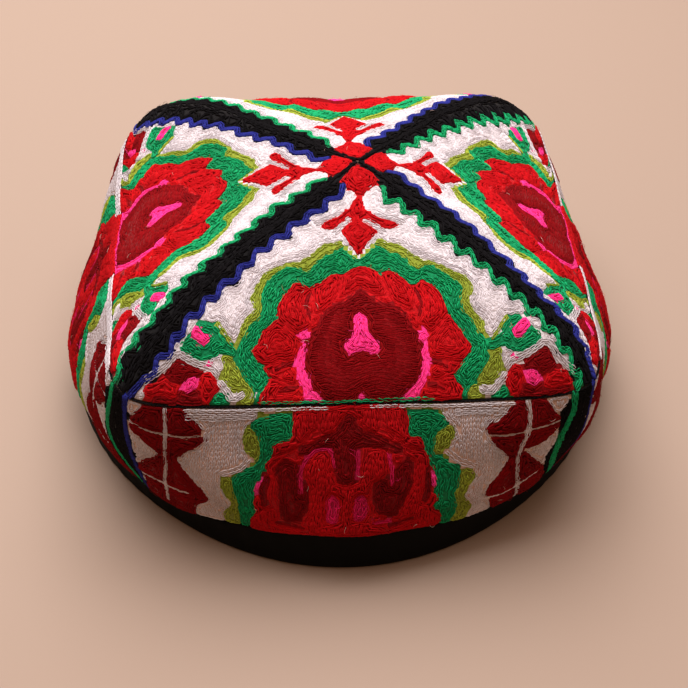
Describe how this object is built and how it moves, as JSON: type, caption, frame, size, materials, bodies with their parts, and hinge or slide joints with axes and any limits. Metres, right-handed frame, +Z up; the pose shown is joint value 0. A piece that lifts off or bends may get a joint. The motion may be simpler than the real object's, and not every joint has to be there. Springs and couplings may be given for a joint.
{
  "type": "prayer cap",
  "caption": "Four-sided soft prayer cap with a pillow crown, a creased square fold, an embroidered band and a plain bound rim.",
  "frame": {"origin": "middle of the rim's outline, on the surface that the cap stands on", "axes": "+Z up through the crown, -Y towards the side that the picture shows in front, +X to its right"},
  "size_m": [0.1888, 0.1888, 0.0922],
  "materials": {
    "crown_embroidery": "chain-stitched wool and silk thread on cotton",
    "band_embroidery": "chain-stitched wool and silk thread on cotton",
    "fold_cord_black": "twisted black cotton cord",
    "binding_black": "matt black short-pile cloth"
  },
  "bodies": {
    "root": {"crown_gore_front": "crown_embroidery", "crown_gore_right": "crown_embroidery", "crown_gore_back": "crown_embroidery", "crown_gore_left": "crown_embroidery", "band_panel_front": "band_embroidery", "band_panel_right": "band_embroidery", "band_panel_back": "band_embroidery", "band_panel_left": "band_embroidery", "fold_cord": "fold_cord_black", "rim_binding": "binding_black"}
  },
  "joints": []
}
